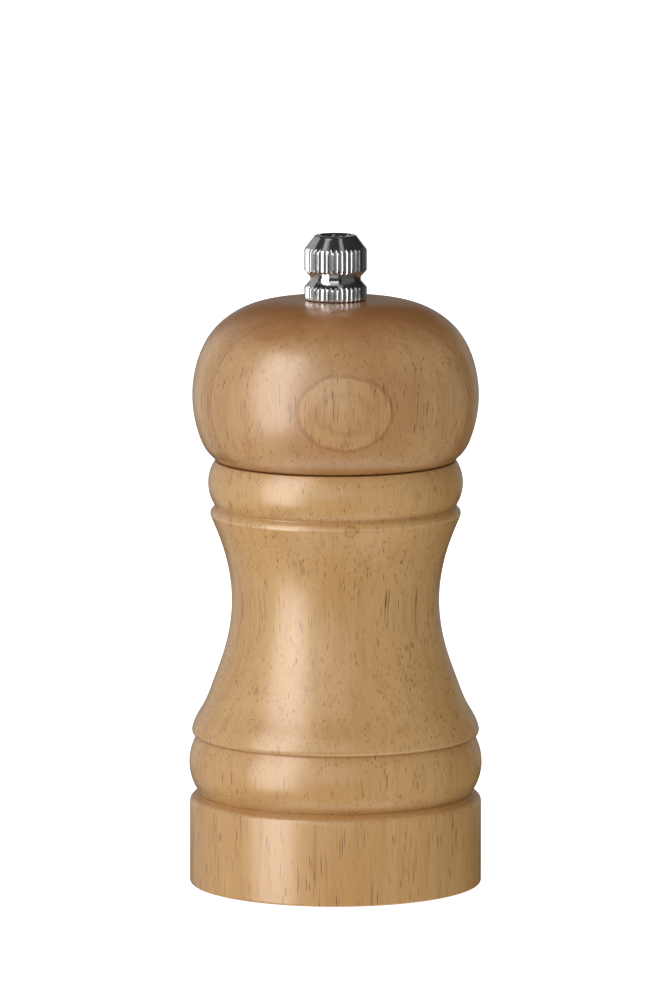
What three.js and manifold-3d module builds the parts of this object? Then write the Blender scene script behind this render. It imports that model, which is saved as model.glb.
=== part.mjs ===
// Turned wooden pepper mill with a knurled chrome knob, in millimetres.
// +Z is up and is the axis that everything turns on. The origin is the centre of the foot's underside.
//
// From the bottom up: a wooden body with a hopper bore holds a grinder, which is a toothed ring (stator) in a
// housing, clamped under the body by a screwed plate. A square shaft carries the toothed cone (rotor), is pushed
// down by a spring under a bridge, and is turned by a plate screwed to the underside of the wooden head. The knob
// is a nut on the shaft's threaded top: turning it lifts or lowers the rotor, which sets the grind.

import * as THREE from "three";
import { mergeVertices } from "three/addons/utils/BufferGeometryUtils.js";
import Module from "manifold-3d";

const wasm = await Module();
wasm.setup();

// ---------------------------------------------------------------- driving dimensions

const HEIGHT = 130;
const GAP = 0.3; // between pieces that touch

const FOOT = { radius: 29.1, top: 16.7, edge: 0.4 };
const BODY_TOP = 85;
const WAIST = { radius: 20.68, z: 56.5 };
const HEAD = { seamRadius: 24, radius: 28.5, equator: 98, top: 117.1 };
const SPIGOT = { radius: 13.6, bottom: 77 };

const HOPPER_RADIUS = 14; // the bore that holds the peppercorns
const HOUSING_SEAT = { radius: 18.6, top: 19.5 };
const RECESS = { radius: 23, depth: 6.5 }; // under the foot

const SHAFT = { width: 6, chamfer: 0.5, bottom: 10.6, top: 115.5 };
const SQUARE_HOLE = SHAFT.width + 2 * GAP;
const KNOB_THREAD = { radius: 2.3, top: 128.6 }; // M5
const ROTOR_THREAD = { radius: 1.85, bottom: 5.2 }; // M4

const PLATE = { radius: 22.6, hole: 14.9, bottom: 5, thickness: 1.2 };
const PLATE_SCREW = { circle: 20.6, head: 2.4, shank: 1.1, length: 10, count: 3 };
const HOUSING = { radius: 18.3, wall: 1, bottom: 6.5, top: 17.7, throat: 14.2 };
const STATOR = { radius: 17, bottom: 6.5, top: 16.2, teeth: 36 };
const BURR_GAP = 0.4; // between the two toothed faces at the medium setting
const ROTOR = { bottom: 6, top: 15.8, topRadius: 7.6, lobes: 9, teeth: 36 };
const SPRING_POCKET = { radius: 6.3, floor: 13 };
const NUT_POCKET = { radius: 8, top: 10.5 };

const BRIDGE = { width: 8, thickness: 1.2, foot: 18, legOuter: 13, top: 27.2, footReach: 17.4, eye: 7.6 };
const BUSH = { radius: 5.3, flange: 6.6, flangeHeight: 0.8, bottom: 25.3, bore: 4.2 };
const SPRING_SEAT = { radius: 6.2, bottom: 24, thickness: 1 };
const SPRING = { meanRadius: 5.2, wire: 1, turns: 5, closedPitch: 1.15 };

const DRIVE_PLATE = { radius: 12.2, bottom: 75.7, thickness: 1.2 };
const DRIVE_SCREW = { circle: 9, head: 2.3, headHeight: 1.4, shank: 1.1, length: 8.2, count: 3 };
const HEAD_BORE = 4.7;

const KNOB = { radius: 6.23, neck: 5.05, bottom: 117.2, topRadius: 4.25, teeth: 36, toothDepth: 0.28 };
const KNOB_WASHER = { radius: 5.6, hole: 3, bottom: 116.75, thickness: 0.4 };

const ROUND = 48; // sides of a large turned piece
const FINE = 72; // sides of a toothed piece, two for each of its 36 teeth
const SMALL = 16; // sides of a screw or a small hole

// ---------------------------------------------------------------- materials

function material(color, roughness, metalness = 0) {
  return new THREE.MeshStandardMaterial({ color, roughness, metalness });
}

const WOOD = material(0xc49a63, 0.35);
const CHROME = material(0xd8d8da, 0.12, 1);
const STEEL = material(0xa9abad, 0.35, 1);
const BURR_STEEL = material(0x6e6f71, 0.45, 1);
const ZINC = material(0xb9bcc0, 0.4, 1);
const NYLON = material(0x23242a, 0.55);
const FIBRE = material(0x5a3524, 0.8);

// ---------------------------------------------------------------- outlines

// A half section of a turned piece: radius across, height up. A closed one runs anticlockwise.
class Outline {
  constructor(radius, z) {
    this.path = new THREE.Path().moveTo(radius, z);
  }

  line(...radiusAndZ) {
    for (let i = 0; i < radiusAndZ.length; i += 2) this.path.lineTo(radiusAndZ[i], radiusAndZ[i + 1]);
    return this;
  }

  // A curve that leaves towards the corner point and arrives from it.
  curve(cornerRadius, cornerZ, radius, z) {
    this.path.quadraticCurveTo(cornerRadius, cornerZ, radius, z);
    return this;
  }

  // A circular arc through a middle point.
  arc(midRadius, midZ, radius, z) {
    const from = this.path.currentPoint.clone();
    const mid = new THREE.Vector2(midRadius, midZ).sub(from);
    const end = new THREE.Vector2(radius, z).sub(from);
    const twice = 2 * mid.cross(end);
    const centre = new THREE.Vector2(
      (end.y * mid.lengthSq() - mid.y * end.lengthSq()) / twice,
      (mid.x * end.lengthSq() - end.x * mid.lengthSq()) / twice,
    );
    const startAngle = Math.atan2(-centre.y, -centre.x);
    const endAngle = Math.atan2(end.y - centre.y, end.x - centre.x);
    this.path.absarc(from.x + centre.x, from.y + centre.y, centre.length(), startAngle, endAngle, twice < 0);
    this.path.currentPoint.set(radius, z);
    return this;
  }

  close() {
    const { x, y } = this.path.getPoint(0);
    return this.line(x, y);
  }

  points(divisions) {
    const TINY = 1e-4;
    return this.path.getPoints(divisions).filter((p, i, all) => i === 0 || p.distanceTo(all[i - 1]) > TINY);
  }
}

function ring(inner, outer, bottom, top) {
  return new Outline(inner, bottom).line(outer, bottom, outer, top, inner, top).close();
}

// ---------------------------------------------------------------- geometry helpers

function turned(outline, sides = ROUND, divisions = 3) {
  return new THREE.LatheGeometry(outline.points(divisions), sides).rotateX(Math.PI / 2);
}

function rod(radius, bottom, top, sides = SMALL) {
  return new THREE.CylinderGeometry(radius, radius, top - bottom, sides)
    .rotateX(Math.PI / 2)
    .translate(0, 0, (bottom + top) / 2);
}

// A square bar with chamfered corners.
function squareBar(width, chamfer, bottom, top) {
  const side = width / 2;
  const inner = side - chamfer;
  const corners = [
    [side, -inner], [side, inner], [inner, side], [-inner, side],
    [-side, inner], [-side, -inner], [-inner, -side], [inner, -side],
  ];
  const shape = new THREE.Shape(corners.map(([x, y]) => new THREE.Vector2(x, y)));
  return new THREE.ExtrudeGeometry(shape, { depth: top - bottom, bevelEnabled: false }).translate(0, 0, bottom);
}

// Moves each vertex of a turned piece towards the axis, or away from it where depth is negative.
function carve(geometry, depthAt) {
  const position = geometry.getAttribute("position");
  for (let i = 0; i < position.count; i++) {
    const x = position.getX(i);
    const y = position.getY(i);
    const radius = Math.hypot(x, y);
    const depth = depthAt(radius, Math.atan2(y, x), position.getZ(i));
    if (depth) position.setXY(i, (x * (radius - depth)) / radius, (y * (radius - depth)) / radius);
  }
  return geometry;
}

// 0 on a tooth's crest and 1 in the valley beside it, for vertices two to a tooth.
function valley(angle, teeth) {
  return (1 - Math.cos(teeth * (angle + Math.PI / 2))) / 2;
}

function solidOf(geometry) {
  const bare = geometry.index ? geometry.toNonIndexed() : geometry.clone();
  bare.deleteAttribute("normal");
  bare.deleteAttribute("uv");
  const merged = mergeVertices(bare, 1e-4);
  return new wasm.Manifold(
    new wasm.Mesh({
      numProp: 3,
      vertProperties: merged.getAttribute("position").array,
      triVerts: new Uint32Array(merged.index.array),
    }),
  );
}

function geometryOf(solid) {
  const mesh = solid.getMesh();
  const geometry = new THREE.BufferGeometry();
  geometry.setAttribute("position", new THREE.BufferAttribute(new Float32Array(mesh.vertProperties), 3));
  geometry.setIndex(new THREE.BufferAttribute(mesh.triVerts, 1));
  geometry.computeVertexNormals();
  return geometry;
}

function cut(geometry, ...tools) {
  return geometryOf(tools.reduce((solid, tool) => solid.subtract(solidOf(tool)), solidOf(geometry)));
}

function join(geometry, ...others) {
  return geometryOf(others.reduce((solid, other) => solid.add(solidOf(other)), solidOf(geometry)));
}

// Copies of a tool, evenly spaced round the axis and starting at the +Y side.
function roundAxis(circle, count, makeTool) {
  return Array.from({ length: count }, (_, i) => {
    const angle = Math.PI / 2 + (2 * Math.PI * i) / count;
    return makeTool().translate(circle * Math.cos(angle), circle * Math.sin(angle), 0);
  });
}

// ---------------------------------------------------------------- wooden body

function bodyOutline() {
  const { radius, top, edge } = FOOT;
  return new Outline(RECESS.radius, 0)
    .line(radius - edge, 0, radius, edge)
    .line(radius, top, radius - 0.3, top + 0.4)
    .line(27.35, 18.3) // groove above the foot
    .arc(29.2, 24.3, 27.75, 29.6) // lower bead
    .line(28.1, 29.9) // groove under the skirt
    .line(28.6, 30.7, 28.6, 31.5, 28.2, 32.5) // the skirt's lip
    .curve(25.8, 36.5, 23.05, 44)
    .arc(21.3, 50, WAIST.radius, WAIST.z)
    .arc(21.85, 65.5, 24.8, 73.7)
    .line(24.95, 74.3, 24.8, 74.9)
    .line(24, 75.9) // groove under the upper bead
    .arc(25.37, 80.3, HEAD.seamRadius, BODY_TOP)
    .line(HOPPER_RADIUS + 0.5, BODY_TOP, HOPPER_RADIUS, BODY_TOP - 0.5)
    .line(HOPPER_RADIUS, HOUSING_SEAT.top, HOUSING_SEAT.radius, HOUSING_SEAT.top)
    .line(HOUSING_SEAT.radius, RECESS.depth, RECESS.radius, RECESS.depth)
    .close();
}

function body() {
  const { circle, count, shank, length } = PLATE_SCREW;
  const pilots = roundAxis(circle, count, () => rod(shank + GAP, RECESS.depth - 1, PLATE.bottom + length + 0.5));
  return cut(turned(bodyOutline()), ...pilots);
}

// ---------------------------------------------------------------- grinder, fixed pieces

function housing() {
  const { radius, wall, bottom, top, throat } = HOUSING;
  const inner = radius - wall;
  return turned(new Outline(inner, bottom)
    .line(radius, bottom, radius, top, throat, top, throat, STATOR.top + GAP)
    .line(inner, STATOR.top + GAP)
    .close());
}

// The radius of the stator's toothed face, wide at the bottom, narrow in the middle and wide at the throat.
const STATOR_FACE = [[14.4, STATOR.bottom], [13.3, 9.5], [13.1, 10.6], [13.95, STATOR.top]];

function stator() {
  const { radius, bottom, top, teeth } = STATOR;
  const outline = new Outline(STATOR_FACE[0][0], bottom).line(radius, bottom, radius, top);
  for (const [faceRadius, z] of [...STATOR_FACE].reverse()) outline.line(faceRadius, z);
  const TOOTH_DEPTH = 0.6;
  return carve(turned(outline, FINE), (r, angle) => (r < radius - 1 ? -TOOTH_DEPTH * valley(angle, teeth) : 0));
}

function retainingPlate() {
  const { radius, hole, bottom, thickness } = PLATE;
  const { circle, head, shank, count } = PLATE_SCREW;
  const top = bottom + thickness;
  const countersink = () => turned(new Outline(0, bottom - 1)
    .line(head + GAP + 1, bottom - 1, head + GAP, bottom, shank + GAP, top, shank + GAP, top + 1, 0, top + 1), SMALL);
  return cut(turned(ring(hole, radius, bottom, top)), ...roundAxis(circle, count, countersink));
}

// Countersunk wood screw, point up.
function plateScrew() {
  const { head, shank, length } = PLATE_SCREW;
  const tip = PLATE.bottom + length;
  return turned(new Outline(0, PLATE.bottom)
    .line(head, PLATE.bottom, shank, PLATE.bottom + PLATE.thickness, shank, tip - 2, 0, tip), SMALL);
}

// A strap that stands over the stator on two feet, which the housing clamps under the body's shoulder. Its
// middle widens into a round eye for the bush.
function bridge() {
  const { width, thickness, foot, legOuter, top, footReach, eye } = BRIDGE;
  const legInner = legOuter - thickness;
  const half = [
    [footReach, foot], [footReach, foot + thickness], [legOuter, foot + thickness],
    [legOuter, top - 1], [legOuter - 1, top],
  ];
  const underside = [[legInner - 0.6, top - thickness], [legInner, top - thickness - 0.6], [legInner, foot]];
  const mirrored = (points) => points.map(([y, z]) => [-y, z]).reverse();
  const outline = [...half, ...mirrored(half), ...mirrored(underside), ...underside];
  const shape = new THREE.Shape(outline.map(([y, z]) => new THREE.Vector2(y, z)));
  const [alongX, alongY, alongZ] = [0, 1, 2].map((axis) => new THREE.Vector3().setComponent(axis, 1));
  const strap = new THREE.ExtrudeGeometry(shape, { depth: width, bevelEnabled: false })
    .translate(0, 0, -width / 2)
    .applyMatrix4(new THREE.Matrix4().makeBasis(alongY, alongZ, alongX));
  const widened = join(strap, rod(eye, top - thickness, top, ROUND));
  return cut(widened, rod(BUSH.radius + GAP, top - thickness - 1, top + 1, ROUND));
}

function bridgeBush() {
  const { radius, flange, flangeHeight, bottom, bore } = BUSH;
  const seat = BRIDGE.top + GAP;
  return turned(new Outline(bore, bottom)
    .line(radius, bottom, radius, seat, flange, seat, flange, seat + flangeHeight, bore, seat + flangeHeight)
    .close());
}

// ---------------------------------------------------------------- spring and its seat

// A washer with a square hole, so that it turns with the shaft and the spring isn't wound up.
function springSeat() {
  const { radius, bottom, thickness } = SPRING_SEAT;
  const top = bottom + thickness;
  return cut(turned(new Outline(0, bottom).line(radius, bottom, radius, top, 0, top)),
    squareBar(SQUARE_HOLE, SHAFT.chamfer, bottom - 1, top + 1));
}

// Centreline of a compression spring whose first and last turns lie close.
class SpringLine extends THREE.Curve {
  constructor(bottom, top) {
    super();
    Object.assign(this, { bottom, top });
  }

  getPoint(t, target = new THREE.Vector3()) {
    const { meanRadius, turns, closedPitch } = SPRING;
    const turn = t * turns;
    const openPitch = (this.top - this.bottom - 2 * closedPitch) / (turns - 2);
    const closed = Math.min(turn, 1) + Math.max(turn - (turns - 1), 0);
    const z = this.bottom + closed * closedPitch + (turn - closed) * openPitch;
    const angle = 2 * Math.PI * turn;
    return target.set(meanRadius * Math.cos(angle), meanRadius * Math.sin(angle), z);
  }
}

function spring() {
  const WIRE_SIDES = 8;
  const STEPS_PER_TURN = 15;
  const wire = SPRING.wire / 2;
  const section = new THREE.Shape(new THREE.EllipseCurve(0, 0, wire, wire).getPoints(WIRE_SIDES).slice(0, -1));
  const line = new SpringLine(SPRING_POCKET.floor + GAP + wire, SPRING_SEAT.bottom - GAP - wire);
  return new THREE.ExtrudeGeometry(section, { steps: SPRING.turns * STEPS_PER_TURN, extrudePath: line });
}

// ---------------------------------------------------------------- shaft and rotor

function driveShaft() {
  const { width, chamfer, bottom, top } = SHAFT;
  const stud = (radius, from, to, pointedEnd) => {
    const CHAMFER = 0.6;
    const [low, high] = pointedEnd === "top" ? [radius, radius - CHAMFER] : [radius - CHAMFER, radius];
    return turned(new Outline(0, from)
      .line(low, from, radius, from + CHAMFER, radius, to - CHAMFER, high, to, 0, to), SMALL);
  };
  return join(
    squareBar(width, chamfer, bottom, top),
    stud(KNOB_THREAD.radius, top - 1, KNOB_THREAD.top, "top"),
    stud(ROTOR_THREAD.radius, ROTOR_THREAD.bottom, bottom + 1, "bottom"),
  );
}

// A cone with long curved lobes that crack the corns, above a band of fine teeth that grinds them.
function rotor() {
  const { bottom, top, topRadius, lobes, teeth } = ROTOR;
  const [low, middle] = STATOR_FACE;
  const BAND_TOP = middle[1];
  const LOBE_ROWS = 5;
  const bandRadius = middle[0] - BURR_GAP;
  const outline = new Outline(NUT_POCKET.radius, bottom)
    .line(low[0] - BURR_GAP, bottom, low[0] - BURR_GAP, low[1], bandRadius, BAND_TOP);
  for (let row = 1; row <= LOBE_ROWS; row++) {
    const t = row / LOBE_ROWS;
    outline.line(bandRadius + (topRadius - bandRadius) * t, BAND_TOP + (top - BAND_TOP) * t);
  }
  outline
    .line(SPRING_POCKET.radius, top, SPRING_POCKET.radius, SPRING_POCKET.floor, 1, SPRING_POCKET.floor)
    .line(1, NUT_POCKET.top, NUT_POCKET.radius, NUT_POCKET.top)
    .close();
  const TOOTH_DEPTH = 0.5;
  const LOBE_DEPTH = 1.8;
  const TWIST = 0.09; // radians for each millimetre of height
  const toothed = carve(turned(outline, FINE), (radius, angle, z) => {
    if (radius < topRadius + 0.5) return 0;
    if (z <= BAND_TOP) return TOOTH_DEPTH * valley(angle, teeth);
    const share = (top - z) / (top - BAND_TOP);
    return LOBE_DEPTH * share * valley(angle + TWIST * (z - BAND_TOP), lobes);
  });
  return cut(toothed, squareBar(SQUARE_HOLE, SHAFT.chamfer, NUT_POCKET.top - 1, SPRING_POCKET.floor + 1));
}

function rotorWasher() {
  const THICKNESS = 1;
  const top = NUT_POCKET.top - GAP;
  return turned(ring(ROTOR_THREAD.radius + GAP, 6, top - THICKNESS, top), SMALL * 2);
}

function rotorNut() {
  const ACROSS_FLATS = 7;
  const top = 8.9;
  const bottom = 5.9;
  const hex = rod(ACROSS_FLATS / Math.sqrt(3), bottom, top, 6);
  return cut(hex, rod(ROTOR_THREAD.radius + GAP, bottom - 1, top + 1));
}

// ---------------------------------------------------------------- head

function headOutline() {
  const { seamRadius, radius, equator, top } = HEAD;
  const seam = BODY_TOP + GAP;
  const spotFace = KNOB_WASHER.bottom - 0.05; // a shallow recess for the knob's washer
  const spotRadius = KNOB_WASHER.radius + GAP;
  return new Outline(HEAD_BORE, SPIGOT.bottom)
    .line(SPIGOT.radius - 0.8, SPIGOT.bottom, SPIGOT.radius, SPIGOT.bottom + 0.8)
    .line(SPIGOT.radius, seam, seamRadius, seam)
    .arc(25.65, 87.05, 27.1, 90)
    .arc(28.15, 93.8, radius, equator)
    .arc(27.7, 104.1, 25.1, 109.9)
    .arc(21.2, 113.75, 15.5, 116.3)
    .line(11, 117, spotRadius + 0.7, top)
    .line(spotRadius, top, spotRadius, spotFace, HEAD_BORE, spotFace)
    .close();
}

function head() {
  const { circle, count, shank, length } = DRIVE_SCREW;
  const pilots = roundAxis(circle, count, () => rod(shank + GAP, SPIGOT.bottom - 1, SPIGOT.bottom + length));
  return cut(turned(headOutline()), ...pilots);
}

// A steel plate under the spigot, whose square hole takes the turn of the head to the shaft.
function drivePlate() {
  const { radius, bottom, thickness } = DRIVE_PLATE;
  const { circle, count, shank } = DRIVE_SCREW;
  const top = bottom + thickness;
  return cut(turned(new Outline(0, bottom).line(radius, bottom, radius, top, 0, top)),
    squareBar(SQUARE_HOLE, SHAFT.chamfer, bottom - 1, top + 1),
    ...roundAxis(circle, count, () => rod(shank + GAP, bottom - 1, top + 1)));
}

// Round-headed wood screw, point up.
function driveScrew() {
  const { head: headRadius, headHeight, shank, length } = DRIVE_SCREW;
  const seat = DRIVE_PLATE.bottom - 0.1;
  const tip = seat + length;
  return turned(new Outline(0, seat - headHeight)
    .curve(headRadius, seat - headHeight, headRadius, seat)
    .line(shank, seat, shank, tip - 2, 0, tip), SMALL, 3);
}

// ---------------------------------------------------------------- knob

function knobWasher() {
  const { radius, hole, bottom, thickness } = KNOB_WASHER;
  return turned(ring(hole, radius, bottom, bottom + thickness));
}

// A knurled nut: two knurled bands with a neck between them, under a cone.
function knob() {
  const { radius, neck, bottom, topRadius, teeth, toothDepth } = KNOB;
  const bore = KNOB_THREAD.radius + GAP;
  const BAND = { lowTop: 119.75, highBottom: 123, highTop: 127.25 };
  const outline = new Outline(bore, bottom)
    .line(radius - 0.2, bottom, radius, bottom + 0.2, radius, BAND.lowTop, neck, 120.95)
    .line(neck, 121.85, radius, BAND.highBottom, radius, BAND.highTop, topRadius, HEIGHT - 0.2)
    .line(topRadius - 0.2, HEIGHT, bore + 0.6, HEIGHT, bore, HEIGHT - 0.6)
    .close();
  return carve(turned(outline, FINE), (r, angle) => (r > radius - 0.1 ? toothDepth * valley(angle, teeth) : 0));
}

// ---------------------------------------------------------------- assembly

const mill = new THREE.Group();

function add(group, name, geometry, look) {
  const mesh = new THREE.Mesh(geometry, look);
  mesh.name = name;
  group.add(mesh);
}

function addRound(group, name, circle, count, makeGeometry, look) {
  roundAxis(circle, count, makeGeometry).forEach((geometry, i) => add(group, `${name}_${i + 1}`, geometry, look));
}

const fixed = new THREE.Group();
add(fixed, "body", body(), WOOD);
add(fixed, "grinder_housing", housing(), NYLON);
add(fixed, "stator", stator(), BURR_STEEL);
add(fixed, "retaining_plate", retainingPlate(), STEEL);
addRound(fixed, "plate_screw", PLATE_SCREW.circle, PLATE_SCREW.count, plateScrew, ZINC);
add(fixed, "bridge", bridge(), STEEL);
add(fixed, "bridge_bush", bridgeBush(), NYLON);
mill.add(fixed);

const turning = new THREE.Group();
add(turning, "spring_seat", springSeat(), ZINC);
add(turning, "spring", spring(), STEEL);
add(turning, "drive_shaft", driveShaft(), STEEL);
add(turning, "rotor", rotor(), BURR_STEEL);
add(turning, "rotor_washer", rotorWasher(), ZINC);
add(turning, "rotor_nut", rotorNut(), ZINC);
mill.add(turning);

const top = new THREE.Group();
add(top, "head", head(), WOOD);
add(top, "drive_plate", drivePlate(), STEEL);
addRound(top, "drive_plate_screw", DRIVE_SCREW.circle, DRIVE_SCREW.count, driveScrew, ZINC);
add(top, "knob_washer", knobWasher(), FIBRE);
add(top, "knob", knob(), CHROME);
mill.add(top);

export default mill;
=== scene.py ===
"""Blender scene of the pepper mill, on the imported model's frame.

Lengths are in millimetres until a mesh is made. The mill stands on z = 0 and turns about Z.
"""

import math
from collections import namedtuple

import bmesh
import bpy
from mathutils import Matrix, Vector


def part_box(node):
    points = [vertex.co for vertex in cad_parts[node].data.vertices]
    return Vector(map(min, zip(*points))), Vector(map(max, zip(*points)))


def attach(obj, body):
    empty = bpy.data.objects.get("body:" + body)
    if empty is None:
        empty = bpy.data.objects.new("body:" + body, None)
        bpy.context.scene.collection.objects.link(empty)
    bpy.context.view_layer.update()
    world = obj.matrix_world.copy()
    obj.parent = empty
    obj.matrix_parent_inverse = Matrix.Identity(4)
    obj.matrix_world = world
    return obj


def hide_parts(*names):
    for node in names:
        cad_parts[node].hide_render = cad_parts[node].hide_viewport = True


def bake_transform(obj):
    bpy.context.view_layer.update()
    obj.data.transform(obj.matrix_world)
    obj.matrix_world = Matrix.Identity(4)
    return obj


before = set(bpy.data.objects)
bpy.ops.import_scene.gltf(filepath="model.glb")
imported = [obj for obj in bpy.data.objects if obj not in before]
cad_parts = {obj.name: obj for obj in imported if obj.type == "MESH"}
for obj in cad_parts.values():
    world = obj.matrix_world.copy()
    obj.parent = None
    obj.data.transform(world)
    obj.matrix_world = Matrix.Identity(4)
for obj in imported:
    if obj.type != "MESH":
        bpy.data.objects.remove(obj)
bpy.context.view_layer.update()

MM = 0.001
SMOOTH_ANGLE = math.radians(35)
CRISP_ANGLE = math.radians(28)

# ---------------------------------------------------------------- dimensions, in mm

Extent = namedtuple("Extent", "radius bottom top")


def extent(node):
    """Half the width along Y, and the lowest and highest z, of a CAD node, to the micron."""
    low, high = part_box(node)
    return Extent(
        round((high.y - low.y) / 2 / MM, 3),
        round(low.z / MM, 3),
        round(high.z / MM, 3),
    )


BODY = extent("body")
HEAD = extent("head")
KNOB = extent("knob")
KNOB_WASHER = extent("knob_washer")
SHAFT = extent("drive_shaft")
ROTOR = extent("rotor")
ROTOR_WASHER = extent("rotor_washer")
ROTOR_NUT = extent("rotor_nut")
STATOR = extent("stator")
HOUSING = extent("grinder_housing")
PLATE = extent("retaining_plate")
PLATE_SCREW = extent("plate_screw_1")
BRIDGE = extent("bridge")
BUSH = extent("bridge_bush")
SPRING_SEAT = extent("spring_seat")
DRIVE_PLATE = extent("drive_plate")
DRIVE_SCREW = extent("drive_plate_screw_1")

# the wooden body's foot and bores
FOOT_RADIUS = 29.1
RECESS_RADIUS = 23
RECESS_DEPTH = 6.5
HOUSING_SEAT_RADIUS = 18.6
HOUSING_SEAT_TOP = 19.5
HOPPER_RADIUS = 14
SEAM_RADIUS = 23.8

# the wooden head; its spigot goes into the hopper
HEAD_RIM = 85.3
SPIGOT_RADIUS = 13.6
HEAD_BORE = 4.7
WASHER_RECESS = 5.9
WASHER_SEAT = 116.7

# the knob: two knurled bands with a neck between them, and a bevelled crown
KNOB_TEETH = 36
KNOB_TOOTH_DEPTH = 0.34
KNOB_BORE = 2.62
KNOB_NECK = 5.05
KNOB_CROWN = 4.4
LOW_BAND_TOP = 119.6
NECK_BOTTOM = 120.9
NECK_TOP = 121.9
HIGH_BAND_BOTTOM = 123.15
HIGH_BAND_TOP = 127.1
CROWN_START = 129.6
KNOB_THREAD_END = 128.0
KNOB_PITCH = 0.8

# the square shaft, its threaded ends and the square holes on it
SHAFT_WIDTH = 6
SHAFT_CHAMFER = 0.5
SQUARE_HOLE = SHAFT_WIDTH + 0.6
BAR_BOTTOM = 10.6
BAR_TOP = 115.5
STUD_RADIUS = 2.3
LOWER_RADIUS = 1.85
NUT_WIDTH = 7
NUT_BORE = 2.1

# the burrs: the grinding cone's (radius, z) at its low and high ends, and the gap inside it
FINE_FACE = ((14.4, 6.5), (13.3, 9.5))
BURR_GAP = 0.4
ROTOR_TEETH = 36
ROTOR_LOBES = 9
THROAT_FOOT = (13.1, 10.6)

# fixed pieces of the grinder
HOUSING_BORE = 17.3
HOUSING_LIP = 14.2
PLATE_BORE = 14.9
STRIP = 1.2
BRIDGE_WIDTH = 8
BRIDGE_LEG = 13
BRIDGE_EYE = 7.6
BRIDGE_HOLE = 5.6
BUSH_BORE = 4.2
BUSH_BARREL = 5.3
BUSH_FLANGE = 27.5

# screws
PLATE_SCREW_CIRCLE = 20.6
DRIVE_SCREW_CIRCLE = 9
SCREW_COUNT = 3
SHANK_RADIUS = 1.1
RECESS_SIZE = 2.6
CROSS_DEPTH = 0.8

# the spring
COIL_RADIUS = 5.2
WIRE_RADIUS = 0.5
SPRING_BOTTOM = 13.3
SPRING_TOP = 23.7


# ---------------------------------------------------------------- outlines


def arc(start, middle, end, steps=12):
    """Points on the circle through three points, without the first."""
    ax, ay = middle[0] - start[0], middle[1] - start[1]
    bx, by = end[0] - start[0], end[1] - start[1]
    twice = 2 * (ax * by - ay * bx)
    cx = (by * (ax * ax + ay * ay) - ay * (bx * bx + by * by)) / twice
    cy = (ax * (bx * bx + by * by) - bx * (ax * ax + ay * ay)) / twice
    radius = math.hypot(cx, cy)
    a0 = math.atan2(-cy, -cx)
    a1 = math.atan2(by - cy, bx - cx)
    if twice > 0 and a1 < a0:
        a1 += 2 * math.pi
    if twice < 0 and a1 > a0:
        a1 -= 2 * math.pi
    angles = [a0 + (a1 - a0) * i / steps for i in range(1, steps + 1)]
    return [(start[0] + cx + radius * math.cos(a), start[1] + cy + radius * math.sin(a)) for a in angles]


def curve(start, corner, end, steps=12):
    """Points on the quadratic curve that leaves start and arrives at end along lines to the corner."""
    points = []
    for i in range(1, steps + 1):
        t = i / steps
        u = 1 - t
        points.append(tuple(u * u * s + 2 * u * t * c + t * t * e for s, c, e in zip(start, corner, end)))
    return points


def second_derivatives(values, gaps):
    """Those of the natural cubic spline through values, by elimination."""
    count = len(values)
    upper = [0.0] * count
    found = [0.0] * count
    for i in range(1, count - 1):
        jump = (values[i + 1] - values[i]) / gaps[i] - (values[i] - values[i - 1]) / gaps[i - 1]
        pivot = 2 * (gaps[i - 1] + gaps[i]) - gaps[i - 1] * upper[i - 1]
        upper[i] = gaps[i] / pivot
        found[i] = (6 * jump - gaps[i - 1] * found[i - 1]) / pivot
    for i in range(count - 2, 0, -1):
        found[i] -= upper[i] * found[i + 1]
    return found


def spline(points, steps=8):
    """Points on a smooth curve through all the given ones, without the first."""
    gaps = [math.dist(a, b) for a, b in zip(points, points[1:])]
    axes = [[p[k] for p in points] for k in (0, 1)]
    bends = [second_derivatives(axis, gaps) for axis in axes]
    path = []
    for i, gap in enumerate(gaps):
        for j in range(1, steps + 1):
            b = j / steps
            a = 1 - b
            cubic_a = (a**3 - a) * gap * gap / 6
            cubic_b = (b**3 - b) * gap * gap / 6
            path.append(
                tuple(
                    a * axis[i] + b * axis[i + 1] + cubic_a * bend[i] + cubic_b * bend[i + 1]
                    for axis, bend in zip(axes, bends)
                )
            )
    return path


def eased(before, corner, after, size, steps=5):
    """A corner rounded over about size on both sides."""
    corner = Vector(corner)
    start = corner + (Vector(before) - corner).normalized() * size
    end = corner + (Vector(after) - corner).normalized() * size
    return [tuple(start)] + curve(start, corner, end, steps)


def eased_path(corners):
    """A path of (radius, z) or (radius, z, size) corners, the ones with a size rounded."""
    path = []
    for i, corner in enumerate(corners):
        if len(corner) == 3:
            before = corners[i - 1][:2]
            after = corners[(i + 1) % len(corners)][:2]
            path += eased(before, corner[:2], after, corner[2])
        else:
            path.append(corner)
    return path


# ---------------------------------------------------------------- meshes


def new_object(name, vertices, faces, materials):
    mesh = bpy.data.meshes.new(name)
    mesh.from_pydata([tuple(c * MM for c in v) for v in vertices], [], faces)
    for item in materials:
        mesh.materials.append(item)
    obj = bpy.data.objects.new(name, mesh)
    bpy.context.scene.collection.objects.link(obj)
    tidy_mesh(mesh)
    return obj


def tidy_mesh(mesh, angle=SMOOTH_ANGLE):
    edit = bmesh.new()
    edit.from_mesh(mesh)
    bmesh.ops.remove_doubles(edit, verts=edit.verts, dist=2e-7)
    bmesh.ops.dissolve_degenerate(edit, edges=edit.edges, dist=1e-8)
    bmesh.ops.recalc_face_normals(edit, faces=edit.faces)
    edit.to_mesh(mesh)
    edit.free()
    mesh.shade_smooth()
    mesh.set_sharp_from_angle(angle=angle)


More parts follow.
